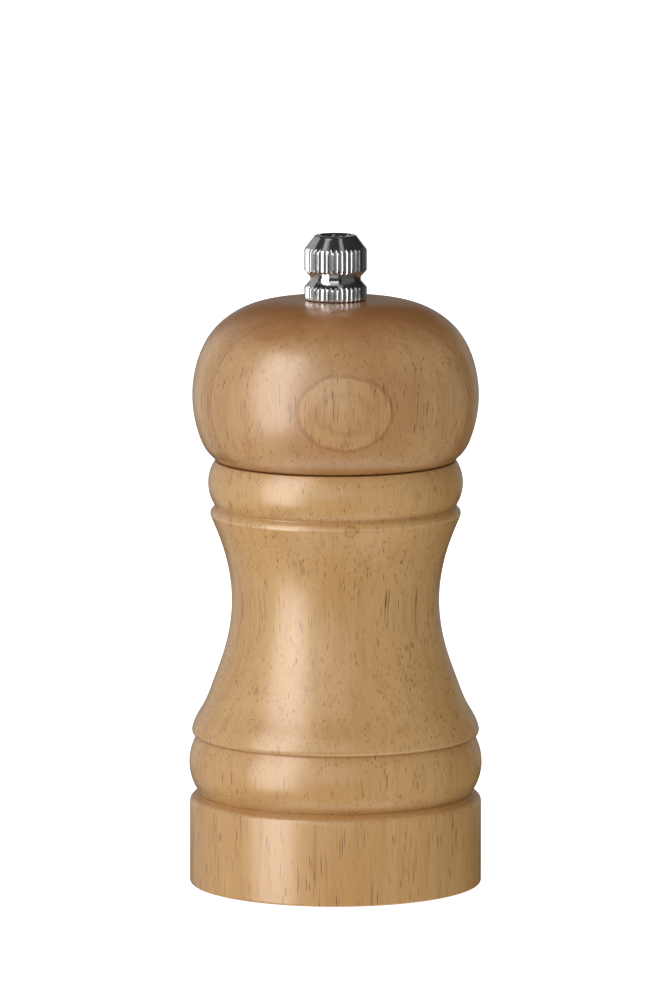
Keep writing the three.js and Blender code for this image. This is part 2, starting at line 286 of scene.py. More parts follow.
def lathe(name, profile, materials, sides=160, closed=True, shape=None):
    """A turned piece. shape(radius, angle, z) gives the radius to use instead."""
    vertices = []
    for i in range(sides):
        angle = 2 * math.pi * i / sides
        for radius, z in profile:
            r = shape(radius, angle, z) if shape else radius
            vertices.append((r * math.cos(angle), r * math.sin(angle), z))
    rows = len(profile)
    faces = []
    for i in range(sides):
        here = i * rows
        there = (i + 1) % sides * rows
        for j in range(rows if closed else rows - 1):
            k = (j + 1) % rows
            faces.append((here + j, there + j, there + k, here + k))
    return new_object(name, vertices, faces, materials)


def spun(name, profile, material, sides=96):
    """A turned solid whose profile starts and ends on the axis."""
    return lathe(name, profile, [material], sides=sides, closed=False)


def prism(name, outline, bottom, top, materials):
    """A straight bar with the given (x, y) outline."""
    count = len(outline)
    vertices = [(x, y, z) for z in (bottom, top) for x, y in outline]
    faces = [(i, (i + 1) % count, count + (i + 1) % count, count + i) for i in range(count)]
    faces += [tuple(range(count))[::-1], tuple(range(count, 2 * count))]
    return new_object(name, vertices, faces, materials)


def square_outline(width, chamfer):
    side = width / 2
    inner = side - chamfer
    quarter = [(side, -inner), (side, inner)]
    return [
        (x * math.cos(turn) - y * math.sin(turn), x * math.sin(turn) + y * math.cos(turn))
        for turn in (i * math.pi / 2 for i in range(4))
        for x, y in quarter
    ]


def combine(obj, operation, *tools):
    """Applies a boolean of obj with each tool, and removes the tools."""
    for tool in tools:
        modifier = obj.modifiers.new("combine", "BOOLEAN")
        modifier.operation = operation
        modifier.solver = "EXACT"
        modifier.object = tool
        depsgraph = bpy.context.evaluated_depsgraph_get()
        mesh = bpy.data.meshes.new_from_object(obj.evaluated_get(depsgraph))
        obj.modifiers.clear()
        obj.data = mesh
        bpy.data.objects.remove(tool)
    tidy_mesh(obj.data)
    return obj


def moved(obj, x, y, z=0, turn=0):
    """Moves the mesh itself, so the object stays at the origin."""
    c = math.cos(turn)
    s = math.sin(turn)
    for vertex in obj.data.vertices:
        vx, vy, vz = vertex.co
        vertex.co = (vx * c - vy * s + x * MM, vx * s + vy * c + y * MM, vz + z * MM)
    obj.data.update()
    return obj


def paint_faces(obj, choose):
    """choose(radius, z) gives the material index of each face."""
    for face in obj.data.polygons:
        centre = face.center / MM
        face.material_index = choose(math.hypot(centre.x, centre.y), centre.z)


def thread(name, radius_at, bottom, top, pitch, depth, materials, sides=40, rows_per_turn=10):
    """A screw thread whose crest follows radius_at(z), running out at both ends."""
    run_out = 0.6 * pitch
    rows = max(2, round((top - bottom) / pitch * rows_per_turn))
    profile_z = [bottom + (top - bottom) * j / rows for j in range(rows + 1)]
    vertices = []
    for i in range(sides):
        angle = 2 * math.pi * i / sides
        for z in profile_z:
            phase = (z / pitch - angle / (2 * math.pi)) % 1
            groove = 1 - abs(2 * phase - 1)
            fade = min(1, (z - bottom) / run_out, (top - z) / run_out)
            r = max(0.02, radius_at(z) - depth * max(groove, 1 - fade))
            vertices.append((r * math.cos(angle), r * math.sin(angle), z))
    count = len(profile_z)
    faces = []
    for i in range(sides):
        here = i * count
        there = (i + 1) % sides * count
        for j in range(count - 1):
            faces.append((here + j, there + j, there + j + 1, here + j + 1))
    faces.append(tuple(i * count for i in range(sides))[::-1])
    faces.append(tuple(i * count + count - 1 for i in range(sides)))
    return new_object(name, vertices, faces, materials)


def around(circle, count):
    """Places round the axis, starting at +Y."""
    for i in range(count):
        angle = math.pi / 2 + 2 * math.pi * i / count
        yield circle * math.cos(angle), circle * math.sin(angle)


# ---------------------------------------------------------------- node helpers for materials


class Nodes:
    """Short spellings for building one material's nodes."""

    def __init__(self, name):
        self.material = bpy.data.materials.new(name)
        self.material.use_nodes = True
        self.tree = self.material.node_tree
        self.shader = self.tree.nodes["Principled BSDF"]

    def add(self, kind, **settings):
        node = self.tree.nodes.new(kind)
        for key, value in settings.items():
            setattr(node, key, value)
        return node

    def link(self, source, target):
        self.tree.links.new(source, target)

    def feed(self, socket, value):
        if isinstance(value, bpy.types.NodeSocket):
            self.link(value, socket)
        else:
            socket.default_value = value

    def math(self, operation, a, b=0.0):
        node = self.add("ShaderNodeMath", operation=operation)
        self.feed(node.inputs[0], a)
        self.feed(node.inputs[1], b)
        return node.outputs[0]

    def swing(self, noise, size):
        """The noise as a change of up to half the size either way."""
        return self.math("MULTIPLY", self.math("SUBTRACT", noise, 0.5), size)

    def object_mm(self):
        """The point on the object, in mm."""
        coordinates = self.add("ShaderNodeTexCoord")
        scale = self.add("ShaderNodeVectorMath", operation="SCALE")
        self.link(coordinates.outputs["Object"], scale.inputs[0])
        scale.inputs["Scale"].default_value = 1 / MM
        return scale.outputs[0]

    def scaled(self, vector, x, y, z):
        node = self.add("ShaderNodeVectorMath", operation="MULTIPLY")
        self.link(vector, node.inputs[0])
        node.inputs[1].default_value = (x, y, z)
        return node.outputs[0]

    def shifted(self, vector, x, y, z):
        node = self.add("ShaderNodeVectorMath", operation="ADD")
        self.link(vector, node.inputs[0])
        node.inputs[1].default_value = (x, y, z)
        return node.outputs[0]

    def summed(self, a, b):
        node = self.add("ShaderNodeVectorMath", operation="ADD")
        self.link(a, node.inputs[0])
        self.link(b, node.inputs[1])
        return node.outputs[0]

    def split(self, vector):
        node = self.add("ShaderNodeSeparateXYZ")
        self.link(vector, node.inputs[0])
        return node.outputs

    def noise(self, vector, scale=1.0, detail=3.0, roughness=0.5, distortion=0.0):
        node = self.add("ShaderNodeTexNoise")
        self.link(vector, node.inputs["Vector"])
        node.inputs["Scale"].default_value = scale
        node.inputs["Detail"].default_value = detail
        node.inputs["Roughness"].default_value = roughness
        node.inputs["Distortion"].default_value = distortion
        return node.outputs["Fac"]

    def voronoi(self, vector):
        """The distance to the nearest of the randomly placed points, one a unit cell, and its colour."""
        node = self.add("ShaderNodeTexVoronoi", feature="F1")
        self.link(vector, node.inputs["Vector"])
        node.inputs["Scale"].default_value = 1.0
        return node.outputs["Distance"], node.outputs["Color"]

    def ramp(self, value, low, high, to_low=0.0, to_high=1.0, smooth=True):
        kind = "SMOOTHSTEP" if smooth else "LINEAR"
        node = self.add("ShaderNodeMapRange", interpolation_type=kind)
        self.feed(node.inputs["Value"], value)
        node.inputs["From Min"].default_value = low
        node.inputs["From Max"].default_value = high
        node.inputs["To Min"].default_value = to_low
        node.inputs["To Max"].default_value = to_high
        return node.outputs["Result"]

    def mix(self, factor, a, b):
        node = self.add("ShaderNodeMix", data_type="RGBA")
        self.feed(node.inputs["Factor"], factor)
        colour_a, colour_b = (socket for socket in node.inputs if socket.type == "RGBA")
        self.feed(colour_a, a)
        self.feed(colour_b, b)
        return next(socket for socket in node.outputs if socket.type == "RGBA")

    def bump(self, height, distance, strength):
        node = self.add("ShaderNodeBump")
        self.link(height, node.inputs["Height"])
        node.inputs["Distance"].default_value = distance
        node.inputs["Strength"].default_value = strength
        return node.outputs["Normal"]

    def set(self, **values):
        for key, value in values.items():
            self.feed(self.shader.inputs[key.replace("_", " ")], value)
        return self


def rgb(red, green, blue):
    return (red, green, blue, 1.0)


# ---------------------------------------------------------------- wood

# the wood's main, palest and darkest colours
BODY_TONES = (rgb(0.63, 0.35, 0.12), rgb(0.70, 0.415, 0.16), rgb(0.50, 0.25, 0.07))
HEAD_TONES = (rgb(0.61, 0.34, 0.135), rgb(0.67, 0.40, 0.175), rgb(0.43, 0.20, 0.06))
RUSSET = rgb(0.34, 0.125, 0.04)
END_GRAIN = rgb(0.34, 0.12, 0.022)
PORE = rgb(0.17, 0.052, 0.011)
# painted on turned edges: partly wear, partly a painted highlight of the lacquer
EDGE_WEAR_AND_HIGHLIGHT = rgb(0.78, 0.53, 0.31)
KNOT = rgb(0.43, 0.24, 0.03)
# cell width and dash length in mm, the pore's radius in cells, and the share of cells that have a pore
PORE_SETS = ((0.42, 6.0, 0.26, 0.85), (0.44, 14.0, 0.25, 0.65), (0.6, 34.0, 0.21, 0.5))


def near(n, value, centre, reach):
    """1 at the centre, and 0 from reach away."""
    return n.ramp(n.math("ABSOLUTE", n.math("SUBTRACT", value, centre)), reach, 0.0)


def growth_layers(n, point, placed, grain):
    """How far through its growth layer a point is, 0 to 1, and a thin line at the layer's edge."""
    pith_x, pith_y = grain["pith"]
    layer = grain["layer"]
    waver = n.noise(n.scaled(placed, 0.05, 0.05, 0.02), detail=2)
    ripple = n.noise(n.scaled(placed, 0.5, 0.5, 0.12), detail=2)
    x, y, _ = n.split(point)
    from_x = n.math("SUBTRACT", x, pith_x)
    from_y = n.math("SUBTRACT", y, pith_y)
    squared = n.math("ADD", n.math("MULTIPLY", from_x, from_x), n.math("MULTIPLY", from_y, from_y))
    distance = n.math("SUBTRACT", n.math("SQRT", squared), grain["first"])
    distance = n.math("ADD", distance, n.swing(waver, grain["waver"]))
    distance = n.math("ADD", distance, n.swing(ripple, 0.35))
    phase = n.math("FRACT", n.math("ADD", n.math("DIVIDE", distance, layer), 50.0))
    thin = 0.11 / layer
    line = near(n, phase, 1 - 1.5 * thin, 1.5 * thin)
    second = n.math("MULTIPLY", near(n, phase, 0.7 / layer, 2 * thin), 0.5)
    return phase, n.math("MAXIMUM", line, second)


def pore_pattern(n, placed, end):
    """Thin tubes along the grain, seen as dashes on the sides and as dots on the end grain."""
    drift = n.add("ShaderNodeTexNoise")
    n.link(n.scaled(placed, 0.12, 0.12, 0.05), drift.inputs["Vector"])
    drift.inputs["Scale"].default_value = 1.0
    drift.inputs["Detail"].default_value = 2.0
    sideways = n.scaled(n.shifted(drift.outputs["Color"], -0.5, -0.5, -0.5), 2.5, 0.8, 0.0)
    waved = n.summed(placed, sideways)
    crowd = n.noise(n.scaled(placed, 0.2, 0.2, 0.035), detail=3)
    pores = None
    for cell, length, size, share in PORE_SETS:
        reach, cell_colour = n.voronoi(n.scaled(waved, 1 / cell, 0.6 / cell, 1 / length))
        red, green, _ = n.split(cell_colour)
        width = n.math("MULTIPLY", n.ramp(green, 0.0, 1.0, 0.6, 1.2, smooth=False), size)
        width = n.math("MULTIPLY", width, n.ramp(end, 0.0, 1.0, 1.0, 0.9))
        dash = n.ramp(n.math("DIVIDE", reach, width), 1.0, 0.5)
        strength = n.ramp(red, 1 - share, 1.0, 0.2, 1.0, smooth=False)
        strength = n.math("MULTIPLY", strength, n.math("GREATER_THAN", red, 1 - share))
        dash = n.math("MULTIPLY", dash, strength)
        pores = dash if pores is None else n.math("MAXIMUM", pores, dash)
    return n.math("MULTIPLY", pores, n.ramp(crowd, 0.27, 0.47, 0.5, 1.0))


def wood(name, tones, grain, lacquered, edges=(), grooves=(), knot=None):
    """Diffuse-porous hardwood whose grain runs along Z.

    Growth layers are shells round the pith, the first of them ending at first, all in mm. Edges
    are turned edges painted pale, partly as wear and partly as a painted highlight, and grooves
    get painted shade, a darker band; each is given as its height and its reach.
    """
    n = Nodes(name)
    honey, pale, tan = tones
    seed = grain["seed"]
    point = n.object_mm()
    placed = n.shifted(point, seed * 37.0, seed * 53.0, seed * 71.0)
    phase, line = growth_layers(n, point, placed, grain)

    # end grain takes up the finish and turns darker
    coordinates = n.add("ShaderNodeTexCoord")
    _, _, facing = n.split(coordinates.outputs["Normal"])
    uneven = n.noise(n.scaled(placed, 0.16, 0.16, 0.16), detail=3)
    upright = n.math("ADD", n.math("ABSOLUTE", facing), n.swing(uneven, 0.3))
    end = n.ramp(upright, 0.42, 0.98)

    # colour, from broad patches down to single fibres
    patches = n.noise(n.scaled(placed, 0.07, 0.07, 0.022), detail=3)
    stripes = n.noise(n.scaled(placed, 0.5, 0.5, 0.028), detail=4, roughness=0.6)
    fibres = n.noise(n.scaled(placed, 4.2, 4.2, 0.2), detail=3, roughness=0.65)
    colour = n.mix(n.ramp(patches, 0.34, 0.66), honey, pale)
    colour = n.mix(n.math("MULTIPLY", n.ramp(stripes, 0.45, 0.72), 0.42), colour, tan)
    colour = n.mix(n.math("MULTIPLY", n.ramp(phase, 0.5, 1.0), grain["late"]), colour, tan)
    broken = n.ramp(n.noise(n.scaled(placed, 1.3, 1.3, 0.5), detail=2), 0.35, 0.6, 0.35, 1.0)
    line = n.math("MULTIPLY", line, broken)
    colour = n.mix(n.math("MULTIPLY", line, grain["line"]), colour, RUSSET)
    colour = n.mix(n.math("MULTIPLY", n.ramp(fibres, 0.35, 0.72), 0.3), colour, tan)

    # mineral streaks: rare, long and reddish
    streak_noise = n.noise(n.scaled(placed, 0.42, 0.42, 0.02), detail=3, roughness=0.55)
    streak_break = n.noise(n.scaled(placed, 1.6, 1.6, 0.12), detail=2)
    streak = n.math("MULTIPLY", n.ramp(streak_noise, 0.6, 0.72), n.ramp(streak_break, 0.4, 0.58))
    colour = n.mix(n.math("MULTIPLY", streak, 0.55), colour, RUSSET)
    colour = n.mix(n.math("MULTIPLY", end, grain["end"]), colour, END_GRAIN)

    # small marks: a knot, turned edges painted pale (partly wear, partly a painted highlight) and painted
    # shade in the grooves
    _, _, height = n.split(point)
    # painted highlight with wear: a pale band along each turned edge
    for z, reach in edges:
        colour = n.mix(n.math("MULTIPLY", near(n, height, z, reach), 0.45), colour, EDGE_WEAR_AND_HIGHLIGHT)
    # painted shade: each groove's band is mixed towards the darker tan tone
    for z, reach in grooves:
        colour = n.mix(n.math("MULTIPLY", near(n, height, z, reach), 0.5), colour, tan)
    if knot:
        colour = n.mix(knot_mark(n, point, knot), colour, KNOT)

    pores = pore_pattern(n, placed, end)
    colour = n.mix(n.math("MULTIPLY", pores, 0.92), colour, PORE)

    relief = n.math("SUBTRACT", n.math("MULTIPLY", fibres, 0.25), pores)
    n.set(Base_Color=colour)
    n.shader.inputs["Specular IOR Level"].default_value = 0.3
    if lacquered:
        n.set(Roughness=n.ramp(fibres, 0.3, 0.7, 0.45, 0.55))
        n.set(Normal=n.bump(relief, 0.00004, 0.45))
        n.shader.inputs["Coat Weight"].default_value = 1.0
        n.shader.inputs["Coat Roughness"].default_value = 0.27
        n.shader.inputs["Coat IOR"].default_value = 1.55
        swell = n.noise(n.scaled(placed, 0.22, 0.22, 0.12), detail=2)
        sunk = n.math("SUBTRACT", swell, n.math("MULTIPLY", pores, 0.2))
        n.link(n.bump(sunk, 0.00005, 0.4), n.shader.inputs["Coat Normal"])
    else:
        n.set(Roughness=n.ramp(fibres, 0.3, 0.7, 0.7, 0.85))
        n.set(Normal=n.bump(relief, 0.00007, 0.8))
    return n.material


def knot_mark(n, point, knot):
    """A pin knot: a pale yellow core with a darker rim."""
    x, y, z, radius = knot
    away = n.add("ShaderNodeVectorMath", operation="LENGTH")
    n.link(n.shifted(point, -x, -y, -z), away.inputs[0])
    wobble = n.noise(n.scaled(point, 0.9, 0.9, 0.9), detail=2)
    reach = n.math("ADD", away.outputs["Value"], n.swing(wobble, 1.5))
    rim = near(n, reach, radius * 0.8, radius * 0.35)
    core = n.ramp(reach, radius, radius * 0.5)
    return n.math("MAXIMUM", n.math("MULTIPLY", rim, 0.95), n.math("MULTIPLY", core, 0.4))


# ---------------------------------------------------------------- metals and polymers


def metal(name, colour, roughness, turned_marks=0.0, stain=0.15, grain=0.0):
    """Metal with fine turning rings, grain and uneven polish."""
    n = Nodes(name)
    point = n.object_mm()
    cloud = n.noise(n.scaled(point, 0.35, 0.35, 0.35), detail=4)
    speck = n.noise(n.scaled(point, 6.0, 6.0, 6.0), detail=3, roughness=0.7)
    darker = rgb(*[c * (1 - stain) for c in colour])
    n.set(Base_Color=n.mix(n.ramp(cloud, 0.3, 0.7), rgb(*colour), darker))
    n.shader.inputs["Metallic"].default_value = 0.94
    n.set(Roughness=n.ramp(speck, 0.3, 0.7, roughness * 0.75, roughness * 1.3))
    x, y, z = n.split(point)
    across = n.math("SQRT", n.math("ADD", n.math("MULTIPLY", x, x), n.math("MULTIPLY", y, y)))
    rings = n.add("ShaderNodeCombineXYZ")
    n.link(n.math("MULTIPLY", across, 14.0), rings.inputs[0])
    n.link(n.math("MULTIPLY", z, 14.0), rings.inputs[2])
    marks = n.noise(rings.outputs[0], detail=2)
    height = n.math("ADD", n.math("MULTIPLY", marks, turned_marks), n.math("MULTIPLY", speck, grain))
    n.set(Normal=n.bump(height, 0.00002, 0.6))
    return n.material


def polymer(name, colour, roughness, grain=0.4):
    """Moulded plastic with a fine spark-eroded texture."""
    n = Nodes(name)
    point = n.object_mm()
    texture = n.noise(n.scaled(point, 7.0, 7.0, 7.0), detail=2)
    cloud = n.noise(n.scaled(point, 0.4, 0.4, 0.4), detail=3)
    lighter = rgb(*[min(1.0, c * 1.35 + 0.01) for c in colour])
    n.set(Base_Color=n.mix(n.ramp(cloud, 0.35, 0.7), rgb(*colour), lighter))
    n.set(Roughness=n.ramp(texture, 0.3, 0.7, roughness * 0.85, roughness * 1.15))
    n.set(Normal=n.bump(texture, 0.00003, grain))
    return n.material


def fibre_board(name):
    """Pressed vulcanised fibre."""
    n = Nodes(name)
    point = n.object_mm()
    hairs = n.noise(n.scaled(point, 3.0, 3.0, 9.0), detail=4, roughness=0.7, distortion=1.5)
    n.set(Base_Color=n.mix(n.ramp(hairs, 0.3, 0.7), rgb(0.11, 0.045, 0.02), rgb(0.2, 0.09, 0.045)))
    n.set(Roughness=n.ramp(hairs, 0.3, 0.7, 0.7, 0.9))
    n.set(Normal=n.bump(hairs, 0.00005, 0.6))
    return n.material


# seed, pith, first, layer and waver place the growth layers; line, late and end are strengths
BODY_GRAIN = {
    "seed": 1.0,
    "pith": (-14.0, 70.0),
    "first": 93.0,
    "layer": 9.0,
    "waver": 5.0,
    "line": 0.05,
    "late": 0.12,
    "end": 0.4,
}
HEAD_GRAIN = {
    "seed": 2.0,
    "pith": (-5.0, 85.0),
    "first": 112.55,
    "layer": 11.05,
    "waver": 1.0,
    "line": 0.6,
    "late": 0.45,
    "end": 0.78,
}
BODY_WOOD = wood(
    "body_wood",
    BODY_TONES,
    BODY_GRAIN,
    lacquered=True,
    # pale lip edges: partly wear, partly a painted highlight
    edges=((74.4, 0.3), (30.35, 0.3)),
    # painted shade in the body's three grooves
    grooves=((76.0, 0.7), (29.7, 0.5), (18.3, 0.8)),
    knot=(3.0, -24.7, 74.05, 1.35),
)
BODY_RAW = wood("body_raw_wood", BODY_TONES, BODY_GRAIN, lacquered=False)
# painted shade in the groove above the head's rim
HEAD_WOOD = wood("head_wood", HEAD_TONES, HEAD_GRAIN, lacquered=True, grooves=((85.4, 0.7),))
HEAD_RAW = wood("head_raw_wood", HEAD_TONES, HEAD_GRAIN, lacquered=False)
CHROME = metal("chrome_plate", (0.70, 0.69, 0.68), 0.09, turned_marks=0.25, stain=0.1)
STEEL = metal("bright_steel", (0.42, 0.42, 0.43), 0.32, turned_marks=0.5, grain=0.4)
BURR_STEEL = metal("burr_steel", (0.30, 0.30, 0.31), 0.4, turned_marks=0.4, stain=0.35, grain=1.0)
ZINC = metal("zinc_plate", (0.62, 0.64, 0.67), 0.32, turned_marks=0.2, stain=0.2, grain=0.8)
SPRING_STEEL = metal("spring_steel", (0.50, 0.50, 0.51), 0.25, stain=0.2, grain=0.3)
NYLON = polymer("black_nylon", (0.018, 0.018, 0.022), 0.5)
FIBRE = fibre_board("brown_fibre")


# ---------------------------------------------------------------- wooden pieces

WAIST_POINTS = (
    (28.66, 30.95),
    (28.3, 32.2),
    (26.25, 36),
    (24.6, 40),
    (22.45, 46),
    (21.05, 52),
    (20.68, 56.7),
    (21.05, 61.7),
    (22.45, 67.7),
    (24.78, 73.75),
)
HEAD_POINTS = (
    (24.0, 85.45),
    (25.65, 87.1),
    (27.1, 90),
    (28.5, 98),
    (27.7, 104.1),
    (25.1, 109.9),
    (21.1, 113.8),
    (15.2, 116.4),
    (6.6, 117.1),
)


def body_profile():
    path = eased_path(
        [
            (RECESS_RADIUS, RECESS_DEPTH),
            (RECESS_RADIUS, 0, 0.4),
            (FOOT_RADIUS, 0, 0.5),
            (FOOT_RADIUS, 17.15, 0.9),
            (27.2, 18.25, 0.25),
        ]
    )
    # the lower bead and the step to the waist
    path += [(27.35, 18.5)]
    path += arc((27.35, 18.5), (29.2, 24.3), (27.8, 29.45), 22)
    path += [(27.72, 29.65), (27.85, 29.8), (28.25, 29.95)]
    path += curve((28.25, 29.95), (28.66, 30.2), WAIST_POINTS[0], 6)
    path += spline(WAIST_POINTS)
    # the upper groove and bead
    path += curve(WAIST_POINTS[-1], (25.05, 74.25), (24.85, 74.9), 6)
    path += [(24.3, 75.5), (24.0, 75.8), (24.0, 76.05)]
    path += arc((24.0, 76.05), (25.37, 80.4), (24.12, 84.75), 20)
    path += [(24.0, 84.93), (SEAM_RADIUS, BODY.top)]
    # the hopper, the housing's seat and the recess
    path += [(HOPPER_RADIUS + 0.5, BODY.top), (HOPPER_RADIUS, BODY.top - 0.5)]
    path += [(HOPPER_RADIUS, HOUSING_SEAT_TOP), (HOUSING_SEAT_RADIUS, HOUSING_SEAT_TOP)]
    path += [(HOUSING_SEAT_RADIUS, RECESS_DEPTH)]
    return path


def make_body():
    obj = lathe("wooden_body", body_profile(), [BODY_WOOD, BODY_RAW], sides=224)

    def choose(radius, z):
        """Lacquer outside, and raw wood in the bores and on the face under the head."""
        inner = RECESS_RADIUS if z < RECESS_DEPTH + 0.5 else HOUSING_SEAT_RADIUS
        outside = radius > inner + 0.2 and z < BODY.top - 0.02
        return 0 if outside else 1

    paint_faces(obj, choose)
    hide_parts("body")
    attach(obj, "mill_body")


def head_profile():
    path = [(HEAD_BORE, HEAD.bottom + 0.4), (HEAD_BORE + 0.4, HEAD.bottom)]
    path += [(SPIGOT_RADIUS - 0.8, HEAD.bottom), (SPIGOT_RADIUS, HEAD.bottom + 0.8)]
    path += [(SPIGOT_RADIUS, HEAD_RIM), (SEAM_RADIUS, HEAD_RIM), HEAD_POINTS[0]]
    path += spline(HEAD_POINTS)
    path += [(WASHER_RECESS + 0.05, 117.08), (WASHER_RECESS, 117.0)]
    path += [(WASHER_RECESS, WASHER_SEAT), (HEAD_BORE, WASHER_SEAT)]
    return path


def make_head():
    obj = lathe("wooden_head", head_profile(), [HEAD_WOOD, HEAD_RAW], sides=224)

    def choose(radius, z):
        """Lacquer outside, and raw wood below the rim and in the bore."""
        under = z < HEAD_RIM + 0.03
        inside = radius < WASHER_RECESS + 0.05
        return 1 if under or inside else 0

    paint_faces(obj, choose)
    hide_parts("head")
    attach(obj, "mill_head")


# ---------------------------------------------------------------- knob


def knurl(radius, angle, z):
    """Cuts the knob's straight knurl: V grooves that run out where the outline is smaller."""
    along = (angle * KNOB_TEETH / (2 * math.pi)) % 1
    off_crest = abs(along - 0.5) * 2
    groove = max(0.0, (off_crest - 0.42) / 0.58)
    cut = KNOB.radius - KNOB_TOOTH_DEPTH * groove
    return min(radius, cut) if radius > KNOB_NECK + 0.25 else radius


def steps(start, end, count):
    """Points along a straight line, without the first."""
    return [tuple(s + (e - s) * i / count for s, e in zip(start, end)) for i in range(1, count + 1)]


def knob_profile():
    radius = KNOB.radius
    foot = KNOB.bottom
    # the foot and the lower band
    path = [(KNOB_BORE, foot + 0.5), (KNOB_BORE + 0.5, foot), (5.7, foot)]
    path += steps((5.7, foot), (6.05, foot + 0.06), 2)
    path += steps((6.05, foot + 0.06), (radius, foot + 0.35), 4)
    path += steps((radius, foot + 0.35), (radius, LOW_BAND_TOP), 6)
    path += steps((radius, LOW_BAND_TOP), (radius - 0.08, LOW_BAND_TOP + 0.18), 2)
    # the neck
    path += steps((radius - 0.08, LOW_BAND_TOP + 0.18), (KNOB_NECK + 0.12, NECK_BOTTOM), 8)
    path += [(KNOB_NECK + 0.02, NECK_BOTTOM + 0.12), (KNOB_NECK, NECK_BOTTOM + 0.25)]
    path += [(KNOB_NECK, NECK_TOP - 0.25), (KNOB_NECK + 0.02, NECK_TOP - 0.12)]
    path += steps((KNOB_NECK + 0.12, NECK_TOP), (radius - 0.08, HIGH_BAND_BOTTOM - 0.17), 8)
    # the upper band and the crown
    path += steps((radius - 0.08, HIGH_BAND_BOTTOM - 0.17), (radius, HIGH_BAND_BOTTOM), 2)
    path += steps((radius, HIGH_BAND_BOTTOM), (radius, HIGH_BAND_TOP), 8)
    path += steps((radius, HIGH_BAND_TOP), (radius - 0.1, HIGH_BAND_TOP + 0.22), 3)
    path += steps((radius - 0.1, HIGH_BAND_TOP + 0.22), (KNOB_CROWN, CROWN_START), 10)
    path += curve((KNOB_CROWN, CROWN_START), (4.2, KNOB.top - 0.03), (3.9, KNOB.top), 5)
    path += [(3.2, KNOB.top), (KNOB_BORE + 0.35, KNOB.top - 0.12)]
    # the bore's thread, as rings at its pitch
    z = KNOB.top - 0.6
    path += [(KNOB_BORE, z)]
    while z > KNOB_THREAD_END:
        path += [(KNOB_BORE + 0.22, z - KNOB_PITCH / 2), (KNOB_BORE, z - KNOB_PITCH)]
        z -= KNOB_PITCH
    return path


def make_knob():
    obj = lathe("knob_nut", knob_profile(), [CHROME], sides=KNOB_TEETH * 12, shape=knurl)
    tidy_mesh(obj.data, CRISP_ANGLE)
    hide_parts("knob")
    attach(obj, "adjusting_knob")


def make_knob_washer():
    radius, bottom, top = KNOB_WASHER
    bore = 3.0
    path = eased_path([(bore, bottom), (radius, bottom), (radius, top, 0.1), (bore, top)])
    washer = lathe("knob_fibre_washer", path, [FIBRE], sides=96)
    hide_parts("knob_washer")
    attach(washer, "washer")


# ---------------------------------------------------------------- shaft and rotor


def make_shaft():
    bar = prism("shaft_bar", square_outline(SHAFT_WIDTH, SHAFT_CHAMFER), BAR_BOTTOM, BAR_TOP, [STEEL])
    turned_ends = [(0, 9), (3.2, 9), (4.05, 10.9), (4.05, 115.0), (2.6, 115.6), (0, 115.6)]
    combine(bar, "INTERSECT", spun("shaft_bar_ends", turned_ends, STEEL, sides=48))
    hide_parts("drive_shaft")
    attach(bar, "grinding_shaft")

    def stud_crest(z):
        return STUD_RADIUS - max(0.0, z - (SHAFT.top - 0.45)) * 0.9

    stud = thread("shaft_stud", stud_crest, BAR_TOP - 0.3, SHAFT.top, KNOB_PITCH, 0.3, [STEEL])
    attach(stud, "grinding_shaft")

    def lower_crest(z):
        return LOWER_RADIUS - max(0.0, SHAFT.bottom + 0.4 - z) * 0.9

    lower = thread(
        "shaft_lower_thread", lower_crest, SHAFT.bottom, BAR_BOTTOM + 0.6, 0.7, 0.26, [STEEL]
    )
    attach(lower, "grinding_shaft")


def rotor_profile():
    low, high = FINE_FACE
    foot = ROTOR.bottom
    top = ROTOR.top
    low_radius = low[0] - BURR_GAP
    high_radius = high[0] - BURR_GAP
    path = [(8.0, foot + 0.15), (8.15, foot), (low_radius - 0.15, foot), (low_radius, foot + 0.15)]
    path += steps((low_radius, foot + 0.15), (low_radius, low[1]), 2)
    path += steps((low_radius, low[1]), (high_radius, high[1]), 10)
    path += steps((high_radius, high[1]), (7.7, top - 0.1), 22)
    path += [(7.5, top), (6.3, top), (6.3, 13.0), (1.0, 13.0), (1.0, 10.5), (8.0, 10.5)]
    return path


def rotor_teeth(radius, angle, z):
    """Fine saw teeth on the grinding cone, and large hollows between the lobes above it."""
    if radius < 7.6:
        return radius
    high = FINE_FACE[1][1]
    fine = (angle * ROTOR_TEETH / (2 * math.pi) + 0.11 * (z - 6)) % 1
    cut = 0.5 * fine
    if z <= high:
        return radius - cut
    share = (ROTOR.top - z) / (ROTOR.top - high)
    coarse = ((angle + 0.09 * (z - high)) * ROTOR_LOBES / (2 * math.pi)) % 1
    hollow = 1.8 * share * (1 - (1 - coarse) ** 0.7 if coarse > 0.12 else coarse / 0.12 * 0.09)
    blend = min(1.0, (z - high) / 0.6)
    return radius - cut * (1 - blend) - hollow * min(1.0, (z - high) / 1.2)


def make_rotor():
    obj = lathe("rotor_cone", rotor_profile(), [BURR_STEEL], sides=360, shape=rotor_teeth)
    outline = square_outline(SQUARE_HOLE, SHAFT_CHAMFER)
    combine(obj, "DIFFERENCE", prism("rotor_hole", outline, 9, 14, [BURR_STEEL]))
    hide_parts("rotor")
    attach(obj, "grinding_shaft")


def make_rotor_washer():
    radius, bottom, top = ROTOR_WASHER
    bore = 2.15
    path = eased_path([(bore, bottom), (radius, bottom, 0.15), (radius, top, 0.15), (bore, top)])
    washer = lathe("rotor_flat_washer", path, [ZINC], sides=96)
    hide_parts("rotor_washer")
    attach(washer, "grinding_shaft")


